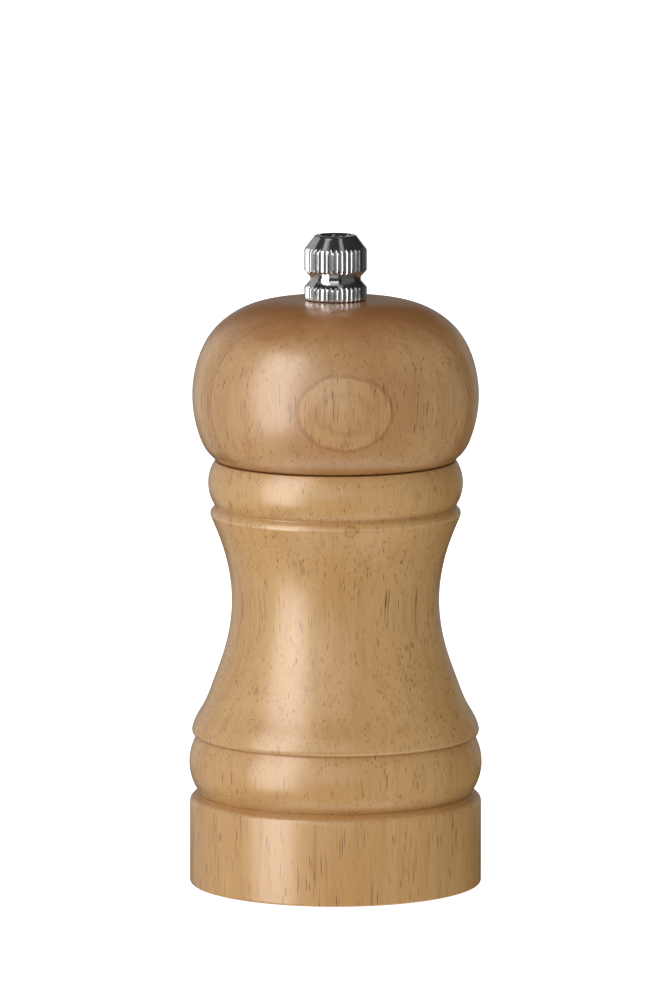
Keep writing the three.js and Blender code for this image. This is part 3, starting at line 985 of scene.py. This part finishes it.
def make_rotor_nut():
    """A hexagon nut, chamfered on both faces."""
    corner = NUT_WIDTH / math.sqrt(3)
    angles = [i * math.pi / 3 for i in range(6)]
    hexagon = [(corner * math.cos(a), corner * math.sin(a)) for a in angles]
    _, bottom, top = ROTOR_NUT
    nut = prism("rotor_hex_nut", hexagon, bottom, top, [ZINC])
    cone = [(0, 5.8), (3.3, 5.8), (4.2, 6.35), (4.2, 8.45), (3.3, 9.0), (0, 9.0)]
    combine(nut, "INTERSECT", spun("nut_chamfer", cone, ZINC, sides=72))
    bore = [(0, 5), (2.75, 5), (NUT_BORE, 6.15), (NUT_BORE, 8.7), (2.75, 9.8), (0, 9.8)]
    combine(nut, "DIFFERENCE", spun("nut_bore", bore, ZINC, sides=48))
    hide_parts("rotor_nut")
    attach(nut, "grinding_shaft")


# ---------------------------------------------------------------- fixed grinder pieces


def stator_teeth(radius, angle, z):
    """Fine saw teeth inside, leaning against the rotor's."""
    if radius > STATOR.radius - 1:
        return radius
    fine = (angle * ROTOR_TEETH / (2 * math.pi) - 0.11 * (z - 6)) % 1
    return radius + 0.6 * fine


def make_stator():
    low, high = FINE_FACE
    radius, bottom, top = STATOR
    path = [(radius, bottom + 0.15), (radius, top - 0.15), (radius - 0.15, top)]
    path += steps((14.1, top), THROAT_FOOT, 14)
    path += steps(THROAT_FOOT, high, 3)
    path += steps(high, low, 10)
    path += [(radius - 0.15, bottom)]
    obj = lathe("stator_ring", path, [BURR_STEEL], sides=360, shape=stator_teeth)
    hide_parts("stator")
    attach(obj, "mill_body")


def make_housing():
    radius, bottom, top = HOUSING
    path = eased_path(
        [
            (HOUSING_BORE, bottom, 0.15),
            (radius, bottom, 0.2),
            (radius, top, 0.4),
            (HOUSING_LIP, top, 0.3),
            (HOUSING_LIP, top - 1.2, 0.15),
            (HOUSING_BORE, top - 1.2),
        ]
    )
    obj = lathe("grinder_housing_shell", path, [NYLON], sides=128)
    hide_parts("grinder_housing")
    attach(obj, "mill_body")


def make_plate():
    radius, bottom, top = PLATE
    path = eased_path(
        [
            (PLATE_BORE, bottom, 0.25),
            (radius, bottom, 0.3),
            (radius, top, 0.1),
            (PLATE_BORE, top, 0.1),
        ]
    )
    obj = lathe("retaining_ring", path, [STEEL], sides=160)
    sink = [(0, bottom - 1), (3.7, bottom - 1), (2.7, bottom), (1.4, top), (1.4, top + 1), (0, top + 1)]
    for x, y in around(PLATE_SCREW_CIRCLE, SCREW_COUNT):
        combine(obj, "DIFFERENCE", moved(spun("countersink", sink, STEEL, sides=48), x, y))
    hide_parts("retaining_plate")
    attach(obj, "mill_body")


def cross_recess(name, z):
    """A tapered cross, for a screwdriver to fit in from below."""
    half = RECESS_SIZE / 2
    thin = RECESS_SIZE * 0.13
    arms = []
    for turn in (0, math.pi / 2):
        vertices = []
        for level, shrink in ((z - 0.5, 1.0), (z, 1.0), (z + CROSS_DEPTH, 0.35)):
            for x, y in ((-half, -thin), (half, -thin), (half, thin), (-half, thin)):
                vertices.append((x * shrink, y * (0.6 + 0.4 * shrink), level))
        faces = [(0, 1, 2, 3), (8, 11, 10, 9)]
        for base in (0, 4):
            for i in range(4):
                j = (i + 1) % 4
                faces.append((base + i, base + j, base + 4 + j, base + 4 + i))
        arms.append(moved(new_object(name, vertices, faces, [ZINC]), 0, 0, turn=turn))
    return arms


def make_screw(name, node, body, head, size, shank_from, place, turn):
    """A wood screw, point up: a turned head with a cross recess and a threaded shank."""
    x, y = place
    tip = size.top
    screw = spun(name, head, ZINC, sides=64)
    combine(screw, "DIFFERENCE", *cross_recess(name + "_recess", size.bottom))
    moved(screw, x, y, turn=turn)

    def crest(z):
        return SHANK_RADIUS * min(1.0, max(0.05, (tip - z) / 2.2))

    shank = thread(
        name + "_shank", crest, shank_from, tip, 0.9, 0.28, [ZINC], sides=24, rows_per_turn=8
    )
    moved(shank, x, y)
    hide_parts(node)
    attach(screw, body)
    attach(shank, body)


def make_plate_screws():
    """Countersunk screws, with their heads down in the retaining plate."""
    radius, bottom, _ = PLATE_SCREW
    head = [(0, bottom), (radius - 0.1, bottom), (radius, bottom + 0.08)]
    head += [(SHANK_RADIUS, PLATE.top), (1.0, PLATE.top + 0.4), (0, PLATE.top + 0.4)]
    for i, place in enumerate(around(PLATE_SCREW_CIRCLE, SCREW_COUNT), start=1):
        name = f"flat_screw_{i}"
        node = f"plate_screw_{i}"
        make_screw(name, node, "mill_body", head, PLATE_SCREW, PLATE.top + 0.1, place, 0.4 + i)


def make_drive_screws():
    """Round-head screws under the drive plate."""
    radius, bottom, _ = DRIVE_SCREW
    seat = DRIVE_PLATE.bottom
    head = [(0, bottom)] + curve((0, bottom), (radius, bottom), (radius, seat - 0.15), 12)
    head += [(radius - 0.05, seat - 0.1), (1.0, seat - 0.1), (1.0, seat + 0.5), (0, seat + 0.5)]
    for i, place in enumerate(around(DRIVE_SCREW_CIRCLE, SCREW_COUNT), start=1):
        name = f"round_screw_{i}"
        node = f"drive_plate_screw_{i}"
        make_screw(name, node, "mill_head", head, DRIVE_SCREW, seat, place, 0.9 * i)


def strap_section():
    """The bridge's side view, as (y, z), bent from flat strip."""
    toe, bottom, top = BRIDGE
    under_top = top - STRIP
    inner_leg = BRIDGE_LEG - STRIP
    outer = [(toe, bottom), (toe, bottom + STRIP)]
    outer += eased((toe, bottom + STRIP), (BRIDGE_LEG, bottom + STRIP), (BRIDGE_LEG, top), 0.7)
    outer += eased((BRIDGE_LEG, bottom + STRIP), (BRIDGE_LEG, top), (-BRIDGE_LEG, top), 1.9)
    under = eased((0, under_top), (inner_leg, under_top), (inner_leg, bottom), 0.9)
    under += eased((inner_leg, under_top), (inner_leg, bottom), (toe, bottom), 1.3)
    mirrored_outer = [(-y, z) for y, z in reversed(outer)]
    mirrored_under = [(-y, z) for y, z in reversed(under)]
    return outer + mirrored_outer + mirrored_under + under


def make_bridge():
    section = strap_section()
    count = len(section)
    half = BRIDGE_WIDTH / 2
    vertices = [(x, y, z) for x in (-half, half) for y, z in section]
    faces = [(i, (i + 1) % count, count + (i + 1) % count, count + i) for i in range(count)]
    faces += [tuple(range(count)), tuple(range(count, 2 * count))[::-1]]
    obj = new_object("bridge_strap", vertices, faces, [STEEL])
    under = BRIDGE.top - STRIP
    eye = [(0, under), (BRIDGE_EYE, under), (BRIDGE_EYE, BRIDGE.top), (0, BRIDGE.top)]
    combine(obj, "UNION", spun("bridge_eye", eye, STEEL))
    hole = [(0, 25), (BRIDGE_HOLE, 25), (BRIDGE_HOLE, 28), (0, 28)]
    combine(obj, "DIFFERENCE", spun("bridge_hole", hole, STEEL))
    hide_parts("bridge")
    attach(obj, "mill_body")


def make_bush():
    radius, bottom, top = BUSH
    path = eased_path(
        [
            (BUSH_BORE, bottom, 0.2),
            (BUSH_BARREL, bottom, 0.3),
            (BUSH_BARREL, BUSH_FLANGE),
            (radius, BUSH_FLANGE, 0.1),
            (radius, top, 0.3),
            (BUSH_BORE, top, 0.3),
        ]
    )
    bush = lathe("bridge_bearing", path, [NYLON], sides=96)
    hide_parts("bridge_bush")
    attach(bush, "mill_body")


# ---------------------------------------------------------------- spring, its seat, and the drive plate


def keyed_disc(name, size):
    """A flat disc with the shaft's square hole."""
    radius, bottom, top = size
    rim = [(radius - 1, bottom), (radius, bottom, 0.15), (radius, top, 0.15), (radius - 1, top)]
    obj = spun(name, [(0, bottom)] + eased_path(rim) + [(0, top)], ZINC)
    outline = square_outline(SQUARE_HOLE, SHAFT_CHAMFER)
    return combine(obj, "DIFFERENCE", prism(name + "_hole", outline, bottom - 1, top + 1, [ZINC]))


def make_spring():
    """Round wire wound in five turns, the end turns lying close and ground flat."""
    turns = 5
    per_turn = 48
    wire_sides = 14
    bottom = SPRING_BOTTOM + WIRE_RADIUS
    top = SPRING_TOP - WIRE_RADIUS
    closed_pitch = 1.15
    open_pitch = (top - bottom - 2 * closed_pitch) / (turns - 2)
    vertices = []
    count = turns * per_turn
    for i in range(count + 1):
        turn = i / per_turn
        closed = min(turn, 1) + max(turn - (turns - 1), 0)
        z = bottom + closed * closed_pitch + (turn - closed) * open_pitch
        angle = 2 * math.pi * turn
        for k in range(wire_sides):
            around_wire = 2 * math.pi * k / wire_sides
            r = COIL_RADIUS + WIRE_RADIUS * math.cos(around_wire)
            height = min(max(z + WIRE_RADIUS * math.sin(around_wire), SPRING_BOTTOM), SPRING_TOP)
            vertices.append((r * math.cos(angle), r * math.sin(angle), height))
    faces = []
    for i in range(count):
        for k in range(wire_sides):
            a = i * wire_sides + k
            b = i * wire_sides + (k + 1) % wire_sides
            faces.append((a, a + wire_sides, b + wire_sides, b))
    faces.append(tuple(range(wire_sides)))
    faces.append(tuple(count * wire_sides + k for k in range(wire_sides))[::-1])
    obj = new_object("rotor_spring", vertices, faces, [SPRING_STEEL])
    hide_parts("spring")
    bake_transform(obj)


def make_spring_seat():
    seat = keyed_disc("spring_keyed_washer", SPRING_SEAT)
    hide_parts("spring_seat")
    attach(seat, "spring_carrier")


def make_drive_plate():
    obj = keyed_disc("drive_disc", DRIVE_PLATE)
    hole = [(0, 75), (1.4, 75), (1.4, 78), (0, 78)]
    for x, y in around(DRIVE_SCREW_CIRCLE, SCREW_COUNT):
        combine(obj, "DIFFERENCE", moved(spun("drive_hole", hole, ZINC, sides=32), x, y))
    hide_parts("drive_plate")
    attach(obj, "mill_head")


# ---------------------------------------------------------------- stage, light and camera


LIGHT_TARGET = Vector((0, 0, 0.07))
WHITE = rgb(1, 1, 1)


def make_floor():
    n = Nodes("studio_floor")
    point = n.object_mm()
    tone = n.noise(n.scaled(point, 0.004, 0.004, 0.004), detail=2)
    n.set(Base_Color=n.mix(tone, rgb(0.90, 0.90, 0.90), rgb(0.93, 0.93, 0.93)))
    n.shader.inputs["Roughness"].default_value = 0.9
    n.shader.inputs["Specular IOR Level"].default_value = 0.1
    n.shader.inputs["Emission Color"].default_value = WHITE
    n.shader.inputs["Emission Strength"].default_value = 0.86
    half = 15000
    level = -0.1
    corners = [(-half, -half, level), (half, -half, level), (half, half, level), (-half, half, level)]
    floor = new_object("floor", corners, [(0, 1, 2, 3)], [n.material])
    # only the camera sees it, so that the light on the mill is the lamps' own
    floor.visible_diffuse = False
    floor.visible_glossy = False
    floor.visible_shadow = False


def make_light(name, azimuth, distance, middle, width, height, strength, lights=True, reflected=True):
    """A soft box facing the mill, in metres and W/m2. Azimuth 0 is in front, positive to the right.

    With lights=False it is seen in reflections only, and with reflected=False it isn't seen in
    them. The floor lets its light through: what is below the floor stands for the lit table top.
    """
    a = math.radians(azimuth)
    place = Vector((distance * math.sin(a), -distance * math.cos(a), middle))
    data = bpy.data.lights.new(name, "AREA")
    data.shape = "RECTANGLE"
    data.size = width
    data.size_y = height
    data.energy = strength * width * height
    obj = bpy.data.objects.new(name, data)
    obj.location = place
    obj.rotation_euler = (LIGHT_TARGET - place).to_track_quat("-Z", "Y").to_euler()
    obj.visible_camera = False
    obj.visible_diffuse = lights
    obj.visible_glossy = reflected
    bpy.context.scene.collection.objects.link(obj)


def make_stage():
    make_floor()
    world = bpy.data.worlds.new("studio")
    world.use_nodes = True
    background = world.node_tree.nodes["Background"]
    background.inputs["Color"].default_value = WHITE
    background.inputs["Strength"].default_value = 0.48
    world.cycles_visibility.glossy = False
    bpy.context.scene.world = world
    # a small box in front of a larger, weaker one makes one soft-edged light, with its sheen
    make_light("key_core", -44, 1.30, 0.42, 0.36, 1.85, 4.1)
    make_light("key_edge", -52, 1.38, 0.62, 0.90, 2.60, 1.6)
    make_light("key_sheen", -50, 1.42, 0.38, 1.02, 2.35, 12.0, lights=False)
    make_light("front_fill", -6, 1.6, 0.5, 1.2, 1.2, 3.3)
    make_light("back_fill", 190, 1.2, 1.1, 1.4, 1.4, 1.5, reflected=False)
    make_light("under_fill", 0, 0.02, -0.8, 1.2, 1.2, 3.3)
    # these mostly give the metal and the lacquer something to reflect
    make_light("right_panel", 62, 1.5, 0.25, 2.0, 2.1, 0.3, lights=False)
    make_light("left_panel", -120, 1.5, 0.25, 2.0, 2.1, 1.25)
    make_light("back_panel", 180, 1.6, 0.12, 2.2, 0.8, 0.8, lights=False)
    make_light("top_panel", 42, 0.55, 1.3, 0.22, 0.8, 1.2, lights=False)


def make_camera():
    scene = bpy.context.scene
    scene.view_settings.view_transform = "Standard"
    elevation = math.radians(8.4)
    distance = 2.0
    target = Vector((-0.0022, 0, 0.0769))
    data = bpy.data.cameras.new("camera")
    data.sensor_width = 36
    data.lens = 361.9
    data.clip_start = 0.05
    data.clip_end = 100
    camera = bpy.data.objects.new("camera", data)
    camera.location = target + distance * Vector((0, -math.cos(elevation), math.sin(elevation)))
    camera.rotation_euler = (target - camera.location).to_track_quat("-Z", "Y").to_euler()
    scene.collection.objects.link(camera)
    scene.camera = camera


# ---------------------------------------------------------------- everything

make_body()
make_head()
make_knob()
make_knob_washer()
make_shaft()
make_rotor()
make_rotor_washer()
make_rotor_nut()
make_stator()
make_housing()
make_plate()
make_plate_screws()
make_drive_screws()
make_bridge()
make_bush()
make_spring()
make_spring_seat()
make_drive_plate()
make_stage()
make_camera()
